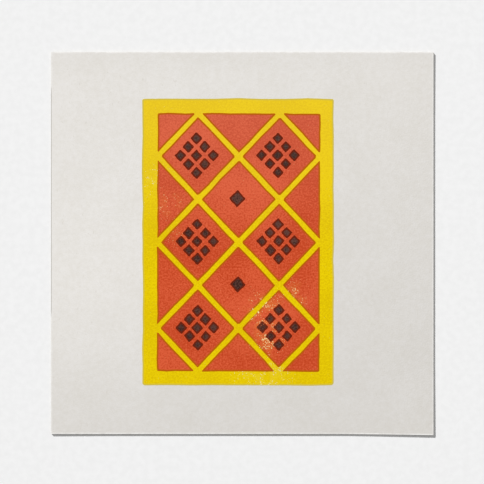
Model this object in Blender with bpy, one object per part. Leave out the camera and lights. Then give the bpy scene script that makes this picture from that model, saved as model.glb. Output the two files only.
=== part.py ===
"""A square art print on heavy cotton paper: one cut sheet, lying face up.

Metres, +Z up. The origin is on the surface that the sheet lies on, at the middle of its outline. The print's top
edge is at +Y and its right edge at +X. The middle of the sheet lies flat, and its edges and corners lift a little,
as heavy paper does once it has been printed and dried.
"""

import bmesh
import bpy

SHEET_WIDTH = 0.2000  # left edge to right edge
SHEET_HEIGHT = 0.1998  # top edge to bottom edge, along the left side
THICKNESS = 0.0008

# The bottom cut is square as far as CUT_DRIFT_START, then runs off by CUT_DRIFT at the right corner.
CUT_DRIFT = 0.0006
CUT_DRIFT_START = 0.054

# The curl: how far the underside of each corner, and of the middle of each edge, stands off the surface.
CORNER_LIFTS = {
    "top_left": 0.00015,
    "top_right": 0.00028,
    "bottom_left": 0.00020,
    "bottom_right": 0.00032,
}
EDGE_LIFT = 0.00008

# The grid lines of the sheet, as shares of the way from its middle to its edge. The first bounds the flat middle.
STATIONS = (0.66, 0.78, 0.90, 1.0)
FLAT_SHARE = STATIONS[0]

PAPER_COLOUR = (0.76, 0.74, 0.70)
PAPER_ROUGHNESS = 0.9

FULL_HEIGHT = SHEET_HEIGHT + CUT_DRIFT
HALF_WIDTH = SHEET_WIDTH / 2
HALF_HEIGHT = FULL_HEIGHT / 2


def clear_scene():
    """Leaves the scene with no objects."""
    for obj in list(bpy.data.objects):
        bpy.data.objects.remove(obj, do_unlink=True)


def paper_material():
    """Uncoated off-white cotton paper."""
    material = bpy.data.materials.new("cotton_paper")
    material.use_nodes = True
    shader = material.node_tree.nodes["Principled BSDF"]
    shader.inputs["Base Color"].default_value = (*PAPER_COLOUR, 1.0)
    shader.inputs["Roughness"].default_value = PAPER_ROUGHNESS
    shader.inputs["Metallic"].default_value = 0.0
    return material


def curl(u, v):
    """How far the sheet stands off the surface at u, v, which run from -1 to 1 across it and up it."""
    past_u = max(0.0, abs(u) - FLAT_SHARE) / (1.0 - FLAT_SHARE)
    past_v = max(0.0, abs(v) - FLAT_SHARE) / (1.0 - FLAT_SHARE)
    corner = ("top" if v > 0 else "bottom") + ("_right" if u > 0 else "_left")
    along_edges = EDGE_LIFT * max(past_u, past_v) ** 2
    at_corner = (CORNER_LIFTS[corner] - EDGE_LIFT) * past_u * past_v
    return along_edges + at_corner


def cut_rise(x):
    """How far the bottom edge at x stands above the sheet's lowest point."""
    past_start = max(0.0, x - CUT_DRIFT_START) / (HALF_WIDTH - CUT_DRIFT_START)
    return CUT_DRIFT * (1.0 - past_start)


def place(u, v):
    """The point of the underside at u, v."""
    x = HALF_WIDTH * u
    y = HALF_HEIGHT * v + cut_rise(x) * (1.0 - v) / 2
    return x, y, curl(u, v)


def sheet_mesh():
    """The underside of the sheet: a grid on the stations, trimmed to the cut outline and curled."""
    lines = [-share for share in reversed(STATIONS)] + list(STATIONS)
    bm = bmesh.new()
    rows = [[bm.verts.new(place(u, v)) for u in lines] for v in lines]
    for lower, upper in zip(rows, rows[1:]):
        for i in range(len(lines) - 1):
            bm.faces.new((lower[i], lower[i + 1], upper[i + 1], upper[i]))
    mesh = bpy.data.meshes.new("paper_sheet")
    bm.to_mesh(mesh)
    bm.free()
    return mesh


def make_sheet():
    """The sheet: its underside given the paper's thickness upwards."""
    sheet = bpy.data.objects.new("paper_sheet", sheet_mesh())
    bpy.context.collection.objects.link(sheet)
    sheet.data.materials.append(paper_material())
    thickness = sheet.modifiers.new("thickness", "SOLIDIFY")
    thickness.thickness = THICKNESS
    thickness.offset = 1.0
    return sheet


clear_scene()
make_sheet()
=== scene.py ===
import random

import bmesh
import bpy
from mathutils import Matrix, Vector


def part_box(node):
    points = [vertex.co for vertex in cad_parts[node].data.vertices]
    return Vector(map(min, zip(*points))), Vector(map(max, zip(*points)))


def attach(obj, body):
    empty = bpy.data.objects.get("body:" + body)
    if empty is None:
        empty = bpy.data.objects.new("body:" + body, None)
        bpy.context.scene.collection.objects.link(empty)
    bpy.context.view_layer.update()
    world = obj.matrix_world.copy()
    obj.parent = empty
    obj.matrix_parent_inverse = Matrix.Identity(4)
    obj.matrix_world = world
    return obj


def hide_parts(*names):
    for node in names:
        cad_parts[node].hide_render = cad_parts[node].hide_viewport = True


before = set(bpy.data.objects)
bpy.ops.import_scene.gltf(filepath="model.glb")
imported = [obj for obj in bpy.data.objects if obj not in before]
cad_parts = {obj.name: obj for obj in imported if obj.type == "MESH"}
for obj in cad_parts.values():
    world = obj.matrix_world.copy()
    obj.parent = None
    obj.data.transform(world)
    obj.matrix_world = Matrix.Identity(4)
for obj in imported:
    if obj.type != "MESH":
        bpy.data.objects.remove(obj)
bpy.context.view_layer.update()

# A square block print on heavy cotton paper, lying face up
# Lengths are in metres, and MM is a millimetre

MM = 0.001

# The sheet of paper, at the size that the frame gives it
LOW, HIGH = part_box("paper_sheet")
WIDTH = HIGH.x - LOW.x
HEIGHT = HIGH.y - LOW.y
THICKNESS = 0.8 * MM
CORNER_ROUND = 0.35 * MM
EDGE_ROUND = 0.04 * MM
CELL = 5 * MM  # the sheet is cut into cells this wide, so that it can curl
SMOOTH_ANGLE = 0.3  # a sharper edge keeps its crease, in radians

# The bottom cut runs off square towards the right corner
CUT_DRIFT = 0.6 * MM
CUT_DRIFT_START = 54 * MM

# The curl of the corners and the edges, outside the flat middle
CORNER_LIFTS = {
    "top_left": 0.15 * MM,
    "top_right": 0.28 * MM,
    "bottom_left": 0.20 * MM,
    "bottom_right": 0.32 * MM,
}
EDGE_LIFT = 0.08 * MM
FLAT_SHARE = 0.66
CAGE_CELLS = 24
CAGE_HEIGHT = 10 * MM

# The printed panel and the lozenges on it
PANEL_MIDDLE = (-2.2 * MM, 0.8 * MM)
PANEL_WIDTH = 100 * MM
PANEL_HEIGHT = 150 * MM
BORDER = 7.5 * MM  # the plain yellow round the lozenges
COLUMNS = 2
ROWS = 3
LOZENGE_HALF_WIDTH = (PANEL_WIDTH - 2 * BORDER) / COLUMNS / 2
LOZENGE_HALF_HEIGHT = (PANEL_HEIGHT - 2 * BORDER) / ROWS / 2
LATTICE_LINE = 2.6 * MM  # the yellow left between two lozenges
MARK_SHARE = 0.146  # a small dark lozenge, as a share of a red one
MARK_STEP = 0.2  # from one small dark lozenge to the next, the same way
SINGLE_SHARE = 0.2  # the one dark lozenge in each lozenge between the main ones
MARK_SLIP = 0.16 * MM  # how far a mark may be off its place, as cut by hand
MARK_TURN = 0.07  # how far it may be turned, in radians
MARK_SWELL = 0.06  # how much larger or smaller it may be
MARK_SEED = 5

# How each layer's block was cut: how far its corners are softened, how long its facets are, how far they
# wander, how far the knife trembled, and the seed from which both are drawn
YELLOW_CUT = {"corner": 1.1 * MM, "facet": 14 * MM, "wander": 0.40 * MM, "tremor": 0.06 * MM, "seed": 11}
RED_CUT = {"corner": 0.8 * MM, "facet": 8 * MM, "wander": 0.30 * MM, "tremor": 0.06 * MM, "seed": 23}
BROWN_CUT = {"corner": 0.6 * MM, "facet": 2.4 * MM, "wander": 0.30 * MM, "tremor": 0.05 * MM, "seed": 37}
TREMOR_STEP = 0.9 * MM  # the tremor moves points no further apart than this

# How far the two later layers are off their register: their turn in radians, and their shift
RED_TURN = 0.004
RED_SHIFT = (0.25 * MM, -0.20 * MM)
BROWN_TURN = -0.005
BROWN_SHIFT = (-0.20 * MM, 0.25 * MM)

# The ink films: how far the top of each stands above the paper
YELLOW_TOP = 0.030 * MM
RED_TOP = 0.058 * MM
BROWN_TOP = 0.090 * MM
SUNK = 0.012 * MM  # each film starts this far inside what it lies on
RIM = 1.1 * MM  # the squeezed-out edge of a film
RIM_RINGS = 4  # it is modelled as this many rings
BEAD_DROP = 0.4  # how far a film's rounded edge falls, as a share of what stands above the layer below
BEAD_RISE = 0.15  # and how far the bead behind it stands up

# The photograph's frame, and how it is lit
PICTURE_WIDTH = 253.1 * MM  # what the frame takes in at the paper
CAMERA_HEIGHT = 1.2
CAMERA_AIM = (-0.15 * MM, 0.8 * MM)
SENSOR = 36.0
NEAREST = 0.01  # the camera sees nothing nearer than this
KEY_FROM = (-1.14, 1.38, 1.0)
KEY_POWER = 4.04
KEY_SOFTNESS = 0.07
SOFTBOX_AT = (0.0, 0.28, 1.20)
SOFTBOX_SIZE = 0.25
SOFTBOX_POWER = 0.95
ROOM_LIGHT = 0.27


def from_srgb(red, green, blue):
    """The linear colour of an sRGB one given out of 255."""
    linear = []
    for value in (red, green, blue):
        share = value / 255
        linear.append(share / 12.92 if share <= 0.04045 else ((share + 0.055) / 1.055) ** 2.4)
    return (*linear, 1.0)


# Modelling helpers


def deselect():
    """Leaves nothing selected."""
    bpy.ops.object.select_all(action="DESELECT")


def edit(piece, mode="EDGE"):
    """Opens a piece in edit mode with all of it selected."""
    deselect()
    bpy.context.view_layer.objects.active = piece
    piece.select_set(True)
    bpy.ops.object.mode_set(mode="EDIT")
    bpy.ops.mesh.select_mode(type=mode)
    bpy.ops.mesh.select_all(action="SELECT")


def close():
    """Leaves edit mode."""
    bpy.ops.object.mode_set(mode="OBJECT")


def pick(piece, kind, wanted):
    """Selects, in edit mode, the verts, edges or faces for which wanted is true, and says how many."""
    bpy.ops.mesh.select_all(action="DESELECT")
    bm = bmesh.from_edit_mesh(piece.data)
    found = [part for part in getattr(bm, kind) if wanted(part)]
    for part in found:
        part.select_set(True)
    bm.select_flush_mode()
    bmesh.update_edit_mesh(piece.data)
    return len(found)


def apply_all(piece):
    """Applies the piece's modifiers in their order."""
    deselect()
    bpy.context.view_layer.objects.active = piece
    piece.select_set(True)
    for modifier in list(piece.modifiers):
        bpy.ops.object.modifier_apply(modifier=modifier.name)


def freeze(piece):
    """Moves the piece's place and size into its mesh."""
    deselect()
    bpy.context.view_layer.objects.active = piece
    piece.select_set(True)
    bpy.ops.object.transform_apply(location=True, rotation=True, scale=True)


def copy_of(piece, x, y, angle=0.0, size=1.0):
    """A copy with its own mesh, sized and turned about the origin, then moved by x and y."""
    copy = piece.copy()
    copy.data = piece.data.copy()
    bpy.context.scene.collection.objects.link(copy)
    copy.location = (x, y, 0)
    copy.rotation_euler.z = angle
    copy.scale = (size, size, 1)
    freeze(copy)
    return copy


def join(pieces, name):
    """One object of all the pieces."""
    deselect()
    for piece in pieces:
        piece.select_set(True)
    bpy.context.view_layer.objects.active = pieces[0]
    bpy.ops.object.join()
    pieces[0].name = pieces[0].data.name = name
    return pieces[0]


# The paper


def curl(u, v):
    """How far the sheet stands off the surface at u, v, which run from -1 to 1 across it and up it."""
    past_u = max(0.0, abs(u) - FLAT_SHARE) / (1.0 - FLAT_SHARE)
    past_v = max(0.0, abs(v) - FLAT_SHARE) / (1.0 - FLAT_SHARE)
    corner = ("top" if v > 0 else "bottom") + ("_right" if u > 0 else "_left")
    along_edges = EDGE_LIFT * max(past_u, past_v) ** 2
    at_corner = (CORNER_LIFTS[corner] - EDGE_LIFT) * past_u * past_v
    return along_edges + at_corner


def curl_piece(piece):
    """Lifts a piece's outer parts with a cage round the whole sheet."""
    bpy.ops.object.add(type="LATTICE", location=(0, 0, 0))
    cage = bpy.context.object
    cage.data.points_u = cage.data.points_v = CAGE_CELLS + 1
    cage.scale = (WIDTH, HEIGHT, CAGE_HEIGHT)
    for point in cage.data.points:
        point.co_deform.z += curl(2 * point.co.x, 2 * point.co.y) / CAGE_HEIGHT
    bend = piece.modifiers.new("curl", "LATTICE")
    bend.object = cage
    apply_all(piece)
    bpy.data.objects.remove(cage)


def cut_across(way, length):
    """Cuts the open piece into cells along a way, by planes set evenly about its middle."""
    count = round(length / CELL) - 1
    for i in range(count):
        bpy.ops.mesh.select_all(action="SELECT")
        offset = (i - (count - 1) / 2) * CELL
        bpy.ops.mesh.bisect(plane_co=way * offset, plane_no=way)


def make_paper():
    """One cut sheet: a block with its corners and edges softened, trimmed off square, and curled."""
    size = (WIDTH, HEIGHT, THICKNESS)
    bpy.ops.mesh.primitive_cube_add(size=1, location=(0, 0, THICKNESS / 2), scale=size)
    paper = bpy.context.object
    paper.name = paper.data.name = "cotton_paper_sheet"
    freeze(paper)

    near_top = THICKNESS * 0.9
    near_bottom = THICKNESS * 0.1
    edit(paper)
    pick(paper, "edges", lambda e: abs(e.verts[0].co.z - e.verts[1].co.z) > THICKNESS / 2)
    bpy.ops.mesh.bevel(offset=CORNER_ROUND, segments=4, affect="EDGES")
    pick(paper, "edges", lambda e: all(v.co.z > near_top for v in e.verts))
    bpy.ops.mesh.bevel(offset=EDGE_ROUND, segments=2, affect="EDGES")
    pick(paper, "edges", lambda e: all(v.co.z < near_bottom for v in e.verts))
    bpy.ops.mesh.bevel(offset=EDGE_ROUND, segments=1, affect="EDGES")

    bpy.ops.mesh.select_all(action="SELECT")
    bpy.ops.mesh.bisect(plane_co=(CUT_DRIFT_START, 0, 0), plane_no=(1, 0, 0))
    beside_cut = -HEIGHT / 2 + MM
    pick(paper, "verts", lambda v: v.co.y < beside_cut and v.co.x < CUT_DRIFT_START + MM)
    bpy.ops.transform.translate(value=(0, CUT_DRIFT, 0))

    cut_across(Vector((1, 0, 0)), WIDTH)
    cut_across(Vector((0, 1, 0)), HEIGHT)
    close()
    curl_piece(paper)
    bpy.ops.object.shade_smooth_by_angle(angle=SMOOTH_ANGLE)
    return paper


# The ink


def subdivide_long(piece, longest):
    """Halves the open piece's edges until none is longer than that."""
    while pick(piece, "edges", lambda e: e.calc_length() > longest):
        bpy.ops.mesh.subdivide(number_cuts=1)


def hand_cut(piece, height, corner, facet, wander, tremor, seed):
    """Makes flat shapes' outlines cut ones: softened corners, facets that wander, and a fine tremor."""
    edit(piece)
    bpy.ops.mesh.bevel(offset=corner, segments=2, affect="VERTICES")
    bpy.ops.mesh.select_all(action="SELECT")
    bpy.ops.mesh.delete(type="ONLY_FACE")
    subdivide_long(piece, facet)
    bpy.ops.mesh.select_all(action="SELECT")
    bpy.ops.transform.vertex_random(offset=wander, seed=seed)
    subdivide_long(piece, TREMOR_STEP)
    bpy.ops.mesh.select_all(action="SELECT")
    bpy.ops.transform.vertex_random(offset=tremor, seed=seed + 1)
    bpy.ops.transform.resize(value=(1, 1, 0), center_override=(0, 0, height))
    bpy.ops.mesh.select_all(action="SELECT")
    bpy.ops.mesh.edge_face_add()
    if pick(piece, "faces", lambda f: f.normal.z < 0):
        bpy.ops.mesh.flip_normals()
    close()


def ring_from_edge(bm):
    """Which ring each vertex of flat shapes stands on, with 0 for their outlines."""
    rings = {v: 0 for v in bm.verts if v.is_boundary}
    edge = list(rings)
    while edge:
        inner = {e.other_vert(v) for v in edge for e in v.link_edges} - rings.keys()
        rings.update((v, rings[edge[0]] + 1) for v in inner)
        edge = list(inner)
    return rings


def make_film(piece, proud, top):
    """Gives flat shapes rings along their edges, marked as rim, and makes a film with a rounded bead."""
    edit(piece, "FACE")
    for _ in range(RIM_RINGS):
        bpy.ops.mesh.inset(thickness=RIM / RIM_RINGS, depth=0)
        bpy.ops.mesh.remove_doubles(threshold=RIM / RIM_RINGS)
        bpy.ops.mesh.vertices_smooth(factor=0.5)
    bpy.ops.mesh.select_all(action="SELECT")
    bpy.ops.mesh.quads_convert_to_tris(ngon_method="BEAUTY")
    close()

    bm = bmesh.new()
    bm.from_mesh(piece.data)
    rim = bm.verts.layers.float.new("rim")
    for vertex, ring in ring_from_edge(bm).items():
        vertex[rim] = 1.0 - min(ring, RIM_RINGS) / RIM_RINGS
    bottom = min(v.co.z for v in bm.verts)
    bm.to_mesh(piece.data)
    bm.free()
    thickness = piece.modifiers.new("thickness", "SOLIDIFY")
    thickness.thickness = top - bottom
    thickness.offset = 1.0
    apply_all(piece)

    for share, rise in ((1.0, -BEAD_DROP), (1.0 - 1.0 / RIM_RINGS, BEAD_RISE)):
        edit(piece, "VERT")
        bpy.ops.mesh.select_all(action="DESELECT")
        bm = bmesh.from_edit_mesh(piece.data)
        rim = bm.verts.layers.float["rim"]
        for vertex in bm.verts:
            vertex.select_set(vertex.co.z > (top + bottom) / 2 and abs(vertex[rim] - share) < 0.01)
        bmesh.update_edit_mesh(piece.data)
        bpy.ops.transform.translate(value=(0, 0, rise * proud))
        close()


def turn(piece, angle, shift, height):
    """Sets a layer slightly off its register, as hand printing does."""
    edit(piece)
    middle = (*PANEL_MIDDLE, height)
    bpy.ops.transform.rotate(value=angle, orient_axis="Z", center_override=middle)
    bpy.ops.transform.translate(value=(*shift, 0))
    close()


def lozenge(name, middle, height, share, line=0.0):
    """A flat lozenge of that share of a red one's size, pulled in by half a line's width."""
    place = (*middle, height)
    bpy.ops.mesh.primitive_circle_add(vertices=4, radius=1, fill_type="NGON", location=place)
    shape = bpy.context.object
    shape.name = name
    half_width = LOZENGE_HALF_WIDTH * share
    half_height = LOZENGE_HALF_HEIGHT * share
    slope = Vector((half_width, half_height)).length
    pulled_in = 1.0 - line / 2 * slope / (half_width * half_height)
    shape.scale = (half_width * pulled_in, half_height * pulled_in, 1)
    freeze(shape)
    return shape


def main_middles():
    """The middles of the main lozenges, measured from the panel's."""
    return [
        (LOZENGE_HALF_WIDTH * (2 * i - COLUMNS + 1), LOZENGE_HALF_HEIGHT * (2 * j - ROWS + 1))
        for j in range(ROWS)
        for i in range(COLUMNS)
    ]


def between_middles():
    """The middles of the lozenges between them, which the border cuts through where they reach it."""
    return [
        (LOZENGE_HALF_WIDTH * (2 * i - COLUMNS), LOZENGE_HALF_HEIGHT * (2 * j - ROWS))
        for j in range(ROWS + 1)
        for i in range(COLUMNS + 1)
    ]


def make_yellow():
    """The first layer: one plain panel."""
    height = THICKNESS - SUNK
    bpy.ops.mesh.primitive_plane_add(size=1, location=(*PANEL_MIDDLE, height))
    yellow = bpy.context.object
    yellow.name = yellow.data.name = "yellow_ink"
    yellow.scale = (PANEL_WIDTH, PANEL_HEIGHT, 1)
    freeze(yellow)
    hand_cut(yellow, height, **YELLOW_CUT)
    make_film(yellow, YELLOW_TOP, THICKNESS + YELLOW_TOP)
    return yellow


def make_red():
    """The second layer: lozenges in rows, and the parts of lozenges that fill in between them."""
    height = THICKNESS + YELLOW_TOP - SUNK
    first = lozenge("red_orange_ink", PANEL_MIDDLE, height, 1.0, LATTICE_LINE)
    shapes = [copy_of(first, x, y) for x, y in main_middles() + between_middles()]
    bpy.data.objects.remove(first)
    red = join(shapes, "red_orange_ink")

    middle = Vector((*PANEL_MIDDLE, height))
    edit(red)
    for way, reach in (
        (Vector((1, 0, 0)), PANEL_WIDTH / 2 - BORDER),
        (Vector((-1, 0, 0)), PANEL_WIDTH / 2 - BORDER),
        (Vector((0, 1, 0)), PANEL_HEIGHT / 2 - BORDER),
        (Vector((0, -1, 0)), PANEL_HEIGHT / 2 - BORDER),
    ):
        bpy.ops.mesh.select_all(action="SELECT")
        bpy.ops.mesh.bisect(plane_co=middle + way * reach, plane_no=way, clear_outer=True)
    close()
    hand_cut(red, height, **RED_CUT)
    turn(red, RED_TURN, RED_SHIFT, height)
    make_film(red, RED_TOP - YELLOW_TOP, THICKNESS + RED_TOP)
    return red


def mark_places():
    """Each dark mark's place, from the panel's middle, and its size, as a share of a small one's."""
    places = []
    for x, y in main_middles():
        for i in (-1, 0, 1):
            for j in (-1, 0, 1):
                across = LOZENGE_HALF_WIDTH * MARK_STEP * (i + j)
                up = LOZENGE_HALF_HEIGHT * MARK_STEP * (i - j)
                places.append((x + across, y + up, 1.0))
    for x, y in between_middles():
        inside = abs(x) < PANEL_WIDTH / 2 - 2 * BORDER and abs(y) < PANEL_HEIGHT / 2 - 2 * BORDER
        if inside:
            places.append((x, y, SINGLE_SHARE / MARK_SHARE))
    return places


def make_brown():
    """The third layer: nine small lozenges in each main one, and one in each whole one between them."""
    height = THICKNESS + RED_TOP - SUNK
    small = lozenge("dark_brown_ink", (0, 0), height, MARK_SHARE)
    hand = random.Random(MARK_SEED)
    shapes = []
    for x, y, size in mark_places():
        across = PANEL_MIDDLE[0] + x + hand.uniform(-MARK_SLIP, MARK_SLIP)
        up = PANEL_MIDDLE[1] + y + hand.uniform(-MARK_SLIP, MARK_SLIP)
        turned = hand.uniform(-MARK_TURN, MARK_TURN)
        swelled = hand.uniform(1 - MARK_SWELL, 1 + MARK_SWELL)
        shapes.append(copy_of(small, across, up, turned, size * swelled))
    bpy.data.objects.remove(small)
    brown = join(shapes, "dark_brown_ink")
    hand_cut(brown, height, **BROWN_CUT)
    turn(brown, BROWN_TURN, BROWN_SHIFT, height)
    make_film(brown, BROWN_TOP - RED_TOP, THICKNESS + BROWN_TOP)
    return brown


# Material helpers


def add(tree, kind, inputs=None, **settings):
    """A shader node with its settings, and its inputs set to values or linked to other nodes' outputs."""
    node = tree.nodes.new("ShaderNode" + kind)
    for name, value in settings.items():
        setattr(node, name, value)
    for name, value in (inputs or {}).items():
        if isinstance(value, bpy.types.NodeSocket):
            tree.links.new(value, node.inputs[name])
        else:
            node.inputs[name].default_value = value
    return node


def grain(tree, size, detail=2.0, stretch=(1, 1, 1), start=(0, 0, 0), distortion=0.0):
    """Noise whose spots are about size across, in the piece's own coordinates."""
    place = add(tree, "TexCoord").outputs["Object"]
    mapped = add(tree, "Mapping", {"Vector": place, "Location": start, "Scale": stretch})
    noise = add(
        tree,
        "TexNoise",
        {"Vector": mapped.outputs[0], "Scale": 1 / size, "Detail": detail, "Distortion": distortion},
    )
    return noise.outputs["Fac"]


def between(tree, value, low, high, out_low=0.0, out_high=1.0):
    """The value taken smoothly from low and high to out_low and out_high."""
    node = add(
        tree,
        "MapRange",
        {"Value": value, "From Min": low, "From Max": high, "To Min": out_low, "To Max": out_high},
        interpolation_type="SMOOTHSTEP",
    )
    return node.outputs["Result"]


def calc(tree, operation, first, second=0.0):
    """One step of arithmetic."""
    return add(tree, "Math", {0: first, 1: second}, operation=operation).outputs[0]


def vector_calc(tree, operation, first, second, result="Vector"):
    """One step of arithmetic on places or ways."""
    return add(tree, "VectorMath", {0: first, 1: second}, operation=operation).outputs[result]


def blend_of(tree, *parts):
    """The sum of values, each with the share of it that is taken."""
    total = None
    for value, share in parts:
        part = calc(tree, "MULTIPLY", value, share)
        total = part if total is None else calc(tree, "ADD", total, part)
    return total


def mixed(tree, factor, first, second, blend_type="MIX"):
    """Two colours mixed by a factor."""
    node = add(tree, "Mix", {0: factor, 6: first, 7: second}, data_type="RGBA", blend_type=blend_type)
    return node.outputs[2]


def bumped(tree, height, distance, normal=None):
    """The normal of a surface whose height, from 0 to 1, stands for a distance, on top of another."""
    inputs = {"Height": height, "Distance": distance, "Strength": 1.0}
    if normal is not None:
        inputs["Normal"] = normal
    return add(tree, "Bump", inputs).outputs["Normal"]


def new_material(name):
    """A material, its nodes and its shader."""
    material = bpy.data.materials.new(name)
    material.use_nodes = True
    return material, material.node_tree, material.node_tree.nodes["Principled BSDF"]


def connect(tree, shader, **sockets):
    """Links outputs to the shader's sockets, named with _ for a space."""
    for name, value in sockets.items():
        tree.links.new(value, shader.inputs[name.replace("_", " ")])


# The paper's material

PAPER_BRIGHT = from_srgb(238, 235, 231)
# painted shade: the darker paper colour where the light falls off, also used a little near the top edge
PAPER_DARKER = from_srgb(224, 221, 217)
# painted light: the brighter paper of a pool of light at the left
PAPER_PAINTED_LIGHT = from_srgb(242, 239, 235)
PAPER_CLOUD = from_srgb(246, 245, 242)
# painted highlight: the paler line just inside the cut edges
PAPER_EDGE_HIGHLIGHT = from_srgb(247, 245, 242)
PAPER_CUT = from_srgb(222, 216, 206)
PAPER_LAYER = from_srgb(190, 183, 172)
# painted shade: the darker paper along part of the left edge and on the walls that face the key light
PAPER_PAINTED_SHADE = from_srgb(150, 145, 136)
FIBRE_TONE = from_srgb(206, 199, 189)
PAPER_ROUGHNESS = 0.93
PAPER_SHINE = 0.25

CLOUD_SIZE = 22 * MM
FELT_SIZE = 2.2 * MM
TOOTH_SIZE = 0.75 * MM
TOOTH_DEPTH = 0.05 * MM
PORE_SIZE = 0.22 * MM
PORE_DEPTH = 0.015 * MM
FIBRE_SIZE = 1.1 * MM
LAYER_SIZE = 0.09 * MM
LAYER_DEPTH = 0.04 * MM

SHADE_FALLOFF_WAY = Vector((1.0, -1.8, 0.0)).normalized()  # painted shade: the light falls off this way, so the sheet is painted darker this way
SHADE_FALLOFF_REACH = 135 * MM  # from its middle, that way, to where the painted shade is full
LIT_PATCH_MIDDLE = (-80 * MM, -10 * MM, THICKNESS)  # the middle of a painted pool of light, where the sheet is painted brighter
LIT_PATCH_REACH = 95 * MM
TOP_DARKER_BAND = 15 * MM  # how far down from the top edge it is a little darker
EDGE_LINE = 0.55 * MM  # how wide the painted highlight line is along the edges
BROKEN_SIZE = 3 * MM  # that line is fainter in stretches about this long
SHADED_EDGE_FROM = -40 * MM  # painted shade runs along the left edge between these heights
SHADED_EDGE_TO = 84 * MM
SHADED_EDGE_FADE = 6 * MM
SHADED_EDGE_WIDTH = 0.2 * MM  # and is darkest within this of it


def sheet_tone(tree, place):
    """The paper's face: painted shade where the light falls off, a painted pool of light at the left, a
    little darker near the top, with soft clouds, a felt mark, a tooth and a few fibres.
    """
    clouds = grain(tree, CLOUD_SIZE, detail=3)
    felt = grain(tree, FELT_SIZE, detail=3)
    tooth = grain(tree, TOOTH_SIZE, detail=3)
    fibres = grain(tree, FIBRE_SIZE, detail=1, stretch=(1, 0.3, 1), distortion=1.6)

    # painted shade: darker the further the sheet lies along the way the light falls off
    along = vector_calc(tree, "DOT_PRODUCT", place, SHADE_FALLOFF_WAY, "Value")
    colour = mixed(tree, between(tree, along, -SHADE_FALLOFF_REACH, SHADE_FALLOFF_REACH), PAPER_BRIGHT, PAPER_DARKER)
    # painted light: brighter towards the middle of the pool of light at the left
    away = vector_calc(tree, "DISTANCE", place, LIT_PATCH_MIDDLE, "Value")
    colour = mixed(tree, between(tree, away, LIT_PATCH_REACH, 0.0, 0.0, 0.75), colour, PAPER_PAINTED_LIGHT)
    up = add(tree, "SeparateXYZ", {0: place}).outputs["Y"]
    # a little darker near the top edge
    at_top = between(tree, up, HEIGHT / 2 - TOP_DARKER_BAND, HEIGHT / 2, 0.0, 0.18)
    colour = mixed(tree, at_top, colour, PAPER_DARKER)
    tone = blend_of(tree, (clouds, 0.3), (felt, 0.4), (tooth, 0.3))
    colour = mixed(tree, between(tree, tone, 0.3, 0.7, 1.0, 0.0), colour, PAPER_CLOUD, "MULTIPLY")
    colour = mixed(tree, between(tree, fibres, 0.70, 0.77, 0.0, 0.35), colour, FIBRE_TONE)
    return colour, tooth


def edge_line(tree, outwards):
    """The painted highlight line along the edges, where outwards is almost at the edge."""
    return between(tree, outwards, HEIGHT / 2 - 1.6 * EDGE_LINE, HEIGHT / 2 - 0.8 * EDGE_LINE)


def edge_marks(tree, place, colour):
    """The painted highlight lines, clearest along the top and the bottom, and the painted shade along a
    stretch of the left edge.
    """
    parts = add(tree, "SeparateXYZ", {0: place}).outputs
    sideways = calc(tree, "ADD", calc(tree, "ABSOLUTE", parts["X"]), (HEIGHT - WIDTH) / 2)
    cut = between(tree, parts["X"], CUT_DRIFT_START, WIDTH / 2, CUT_DRIFT, 0.0)
    downwards = calc(tree, "SUBTRACT", cut, parts["Y"])
    faint = calc(tree, "MULTIPLY", edge_line(tree, sideways), 0.5)
    clear = edge_line(tree, calc(tree, "MAXIMUM", parts["Y"], downwards))
    line = calc(tree, "MAXIMUM", faint, clear)
    broken = between(tree, grain(tree, BROKEN_SIZE, detail=3), 0.35, 0.65, 0.35, 0.85)
    # painted highlight: the line along the edges is painted paler
    colour = mixed(tree, calc(tree, "MULTIPLY", line, broken), colour, PAPER_EDGE_HIGHLIGHT)

    left = between(tree, parts["X"], EDGE_LINE - WIDTH / 2, SHADED_EDGE_WIDTH - WIDTH / 2)
    above = between(tree, parts["Y"], SHADED_EDGE_FROM, SHADED_EDGE_FROM + SHADED_EDGE_FADE)
    below = between(tree, parts["Y"], SHADED_EDGE_TO, SHADED_EDGE_TO - SHADED_EDGE_FADE)
    left_edge_shade = calc(tree, "MULTIPLY", left, calc(tree, "MULTIPLY", above, below))
    # painted shade: a stretch of the left edge is painted darker
    return mixed(tree, calc(tree, "MULTIPLY", left_edge_shade, 0.6), colour, PAPER_PAINTED_SHADE)


def cut_walls(tree, normal, colour):
    """The cut walls, which show the sheet's layers. Those on the left and at the top, which face the key
    light, get painted shade, so that they throw less light onto the surface beside them.
    """
    layers = grain(tree, LAYER_SIZE, detail=2, stretch=(0.07, 0.07, 1))
    wall = mixed(tree, between(tree, layers, 0.4, 0.7), PAPER_CUT, PAPER_LAYER)
    facing = add(tree, "SeparateXYZ", {0: normal}).outputs
    upright = between(tree, calc(tree, "ABSOLUTE", facing["Z"]), 0.6, 0.2)
    colour = mixed(tree, upright, colour, wall)
    # painted shade: the walls that face the key light are painted darker
    key_facing_side = calc(tree, "SUBTRACT", facing["Y"], facing["X"])
    colour = mixed(tree, between(tree, key_facing_side, 0.3, 0.8), colour, PAPER_PAINTED_SHADE)
    return colour, calc(tree, "MULTIPLY", layers, upright)


def paper_material():
    """Uncoated cotton paper, with a painted highlight and painted shade along its edges, and dull cut walls.
    """
    material, tree, shader = new_material("cotton_paper")
    where = add(tree, "TexCoord").outputs
    colour, tooth = sheet_tone(tree, where["Object"])
    colour = edge_marks(tree, where["Object"], colour)
    colour, layers = cut_walls(tree, where["Normal"], colour)
    normal = bumped(tree, tooth, TOOTH_DEPTH)
    normal = bumped(tree, grain(tree, PORE_SIZE, detail=2), PORE_DEPTH, normal)
    normal = bumped(tree, layers, LAYER_DEPTH, normal)
    shader.inputs["Roughness"].default_value = PAPER_ROUGHNESS
    shader.inputs["Specular IOR Level"].default_value = PAPER_SHINE
    connect(tree, shader, Base_Color=colour, Normal=normal)
    return material


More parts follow.
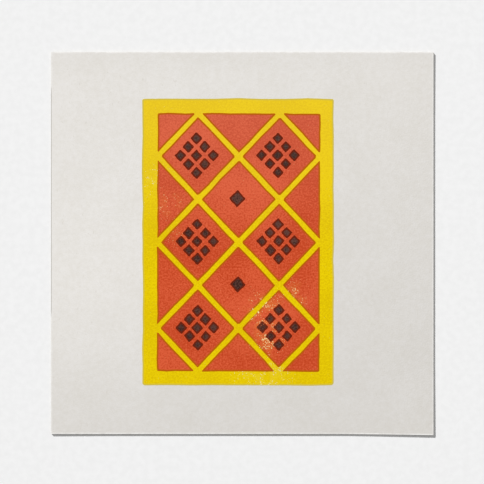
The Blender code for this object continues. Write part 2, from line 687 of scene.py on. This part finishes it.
# The inks' materials

STIPPLE_SIZE = 0.9 * MM  # the roller's stipple
STIPPLE_DEPTH = 0.012 * MM
FINE_SIZE = 0.4 * MM  # the finer grain in it
DRIFT_SIZE = 30 * MM  # how slowly the ink drifts from thin to full
SHEEN_FROM = -15 * MM  # painted sheen: towards the top, the ink is painted paler
SHEEN_TO = 88 * MM
HEAVY_FROM = 22 * MM  # away from the panel's middle, it lies heavier
HEAVY_TO = 62 * MM
WORN_PATCH = 5 * MM  # the worn places are broken up into patches about this wide
SPECK_STEP = 0.62 * MM  # from one bare speck's place to the next
RAGGED = 0.3 * MM  # how far their outlines wander
RAGGED_SIZE = 0.4 * MM  # and how often

# Each ink's grain starts in its own part of the noise. The squeezed-out edge has its full tone, rim, where
# the rim attribute, which is 1 at the outline and 0 behind the bead, is above rim_reach. A worn place is its
# x, its y, its radius, and how much of the ink is missing there.
# Each ink's pale colour, mixed in up to pale_share towards the top, is a painted sheen.
YELLOW = {
    "start": (7, 4, 0),
    "thin": from_srgb(243, 214, 2),
    "full": from_srgb(225, 192, 0),
    "rim": from_srgb(215, 194, 70),
    "rim_reach": 0.3,
    "pale": from_srgb(255, 212, 62),
    "pale_share": 0.35,
    "worn": from_srgb(240, 214, 60),
    "beneath": from_srgb(240, 230, 196),
    "heavier": 0.1,
    "shine": 0.05,
    "worn_places": (
        (-49 * MM, 32 * MM, 16 * MM, 0.30),
        (14 * MM, -69 * MM, 20 * MM, 0.34),
        (2 * MM, -66 * MM, 12 * MM, 0.28),
    ),
}
RED_ORANGE = {
    "start": (1, 2, 0),
    "thin": from_srgb(228, 98, 60),
    "full": from_srgb(197, 67, 28),
    "rim": from_srgb(188, 95, 0),
    "rim_reach": 0.15,
    "pale": from_srgb(240, 150, 130),
    "pale_share": 0.16,
    "worn": from_srgb(230, 132, 52),
    "beneath": from_srgb(255, 234, 170),
    "heavier": 0.1,
    "shine": 0.1,
    "worn_places": (
        (11 * MM, -36 * MM, 16 * MM, 0.56),
        (27 * MM, -27 * MM, 13 * MM, 0.38),
        (13 * MM, -51 * MM, 15 * MM, 0.46),
        (-38 * MM, 20 * MM, 15 * MM, 0.26),
        (-34 * MM, 4 * MM, 10 * MM, 0.22),
    ),
}
DARK_BROWN = {
    "start": (3, 1, 0),
    "thin": from_srgb(104, 66, 57),
    "full": from_srgb(56, 33, 27),
    "rim": from_srgb(106, 32, 10),
    "rim_reach": 0.15,
    "pale": from_srgb(120, 110, 100),
    "pale_share": 0.10,
    "worn": from_srgb(110, 54, 34),
    "beneath": from_srgb(186, 92, 60),
    "heavier": 0.2,
    "shine": 0.08,
    "worn_places": (
        (10 * MM, -42 * MM, 22 * MM, 0.30),
        (-20 * MM, 45 * MM, 12 * MM, 0.24),
    ),
}


def rolled_ink(tree, ink, place):
    """The ink: a stipple that drifts from thin to full, as the roller laid it, and a painted sheen that
    makes it paler near the top.
    """
    stipple = grain(tree, STIPPLE_SIZE, detail=5, start=ink["start"])
    fine = grain(tree, FINE_SIZE, detail=2, start=ink["start"])
    drift = grain(tree, DRIFT_SIZE, detail=2, start=ink["start"])
    body = blend_of(tree, (stipple, 0.5), (fine, 0.25), (drift, 0.25))
    colour = mixed(tree, between(tree, body, 0.41, 0.59), ink["thin"], ink["full"])

    away = vector_calc(tree, "DISTANCE", place, (*PANEL_MIDDLE, THICKNESS), "Value")
    heavier = between(tree, away, HEAVY_FROM, HEAVY_TO, 0.0, ink["heavier"])
    colour = mixed(tree, heavier, colour, ink["full"])
    up = add(tree, "SeparateXYZ", {0: place}).outputs["Y"]
    # painted sheen: paler towards the top
    paler = between(tree, up, SHEEN_FROM, SHEEN_TO, 0.0, ink["pale_share"])
    return mixed(tree, paler, colour, ink["pale"]), stipple, fine


def worn_places(tree, place, places):
    """Where ink is thin or missing: a place's strength in its middle, none at its radius, broken up."""
    flat = vector_calc(tree, "MULTIPLY", place, (1, 1, 0))
    total = None
    for x, y, radius, strength in places:
        away = vector_calc(tree, "DISTANCE", flat, (x, y, 0), "Value")
        one = between(tree, away, radius, 0.0, 0.0, strength)
        total = one if total is None else calc(tree, "MAXIMUM", total, one)
    broken = between(tree, grain(tree, WORN_PATCH, detail=3), 0.36, 0.58, 0.15, 1.0)
    return calc(tree, "MULTIPLY", total, broken)


def bare_specks(tree, worn, place, start):
    """The specks that the block left bare: a few everywhere, crowded and wider in the worn places."""
    placed = add(tree, "Mapping", {"Vector": place, "Location": start}).outputs[0]
    ragged = add(tree, "TexNoise", {"Vector": placed, "Scale": 1 / RAGGED_SIZE, "Detail": 1.0})
    pushed = vector_calc(tree, "MULTIPLY", ragged.outputs["Color"], (RAGGED,) * 3)
    moved = vector_calc(tree, "ADD", placed, pushed)
    cells = add(tree, "TexVoronoi", {"Vector": moved, "Scale": 1 / SPECK_STEP}).outputs
    chance = add(tree, "SeparateColor", {0: cells["Color"]}).outputs["Red"]
    middle = between(tree, cells["Distance"], 0.6, 0.0)
    level = blend_of(tree, (chance, 0.5), (middle, 0.5))
    return between(tree, calc(tree, "ADD", level, worn), 0.92, 0.98)


def ink_material(name, ink):
    """Oil ink rolled on a block and pressed off it: another tone at its edge, and missing in specks."""
    material, tree, shader = new_material(name)
    place = add(tree, "TexCoord").outputs["Object"]
    colour, stipple, fine = rolled_ink(tree, ink, place)

    edge = add(tree, "Attribute", attribute_name="rim").outputs["Fac"]
    colour = mixed(tree, between(tree, edge, 0.0, ink["rim_reach"]), colour, ink["rim"])

    worn = worn_places(tree, place, ink["worn_places"])
    patchy = between(tree, fine, 0.35, 0.65, 0.15, 0.55)
    thinned = calc(tree, "MULTIPLY", between(tree, worn, 0.05, 0.4), patchy)
    colour = mixed(tree, thinned, colour, ink["worn"])
    bare = bare_specks(tree, worn, place, ink["start"])
    colour = mixed(tree, bare, colour, ink["beneath"])

    roughness = between(tree, stipple, 0.3, 0.7, 0.68, 0.8)
    normal = bumped(tree, calc(tree, "SUBTRACT", stipple, bare), STIPPLE_DEPTH)
    shader.inputs["Specular IOR Level"].default_value = ink["shine"]
    connect(tree, shader, Base_Color=colour, Roughness=roughness, Normal=normal)
    return material


# Putting it together


def wear(piece, material):
    """Gives a piece its only material and lets it ride."""
    piece.data.materials.clear()
    piece.data.materials.append(material)
    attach(piece, "root")


# The surface under the sheet, the light and the camera

FLOOR_SIZE = 6
FLOOR_DROP = 0.01 * MM  # how far it is below the sheet, so that the two never coincide
FLOOR_DARK = from_srgb(244, 244, 244)
FLOOR_LIGHT = from_srgb(248, 248, 248)
FLOOR_MOTTLE = 3.5 * MM
FLOOR_ROUGHNESS = 0.95
FLOOR_SHINE = 0.1


def make_floor():
    """A plain near-white surface, faintly mottled."""
    bpy.ops.mesh.primitive_plane_add(size=FLOOR_SIZE, location=(0, 0, -FLOOR_DROP))
    floor = bpy.context.object
    floor.name = "floor"
    material, tree, shader = new_material("pale_surface")
    mottle = grain(tree, FLOOR_MOTTLE, detail=4)
    colour = mixed(tree, between(tree, mottle, 0.3, 0.7), FLOOR_DARK, FLOOR_LIGHT)
    shader.inputs["Roughness"].default_value = FLOOR_ROUGHNESS
    shader.inputs["Specular IOR Level"].default_value = FLOOR_SHINE
    connect(tree, shader, Base_Color=colour)
    floor.data.materials.append(material)


def make_light():
    """A key light from the top left, low enough for a thin shadow, a softbox above, and light all round."""
    sun = bpy.data.lights.new("key", "SUN")
    sun.energy = KEY_POWER
    sun.angle = KEY_SOFTNESS
    key = bpy.data.objects.new("key", sun)
    key.rotation_euler = Vector(KEY_FROM).to_track_quat("Z", "Y").to_euler()
    bpy.context.scene.collection.objects.link(key)

    softbox = bpy.data.lights.new("softbox", "AREA")
    softbox.size = SOFTBOX_SIZE
    softbox.energy = SOFTBOX_POWER
    over = bpy.data.objects.new("softbox", softbox)
    over.location = SOFTBOX_AT
    over.rotation_euler = Vector(SOFTBOX_AT).to_track_quat("Z", "Y").to_euler()
    bpy.context.scene.collection.objects.link(over)

    world = bpy.data.worlds.new("soft_studio")
    world.use_nodes = True
    background = world.node_tree.nodes["Background"]
    background.inputs["Color"].default_value = (1.0, 1.0, 1.0, 1.0)
    background.inputs["Strength"].default_value = ROOM_LIGHT
    bpy.context.scene.world = world
    bpy.context.scene.view_settings.view_transform = "Standard"


def make_camera():
    """Straight above the sheet, which is where the photograph was taken from."""
    data = bpy.data.cameras.new("camera")
    data.sensor_width = SENSOR
    data.lens = SENSOR * (CAMERA_HEIGHT - THICKNESS) / PICTURE_WIDTH
    data.clip_start = NEAREST
    camera = bpy.data.objects.new("camera", data)
    camera.location = (*CAMERA_AIM, CAMERA_HEIGHT)
    bpy.context.scene.collection.objects.link(camera)
    bpy.context.scene.camera = camera


make_camera()
paper = make_paper()
wear(paper, paper_material())
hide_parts("paper_sheet")

wear(make_yellow(), ink_material("yellow_ink", YELLOW))
wear(make_red(), ink_material("red_orange_ink", RED_ORANGE))
wear(make_brown(), ink_material("dark_brown_ink", DARK_BROWN))
make_floor()
make_light()
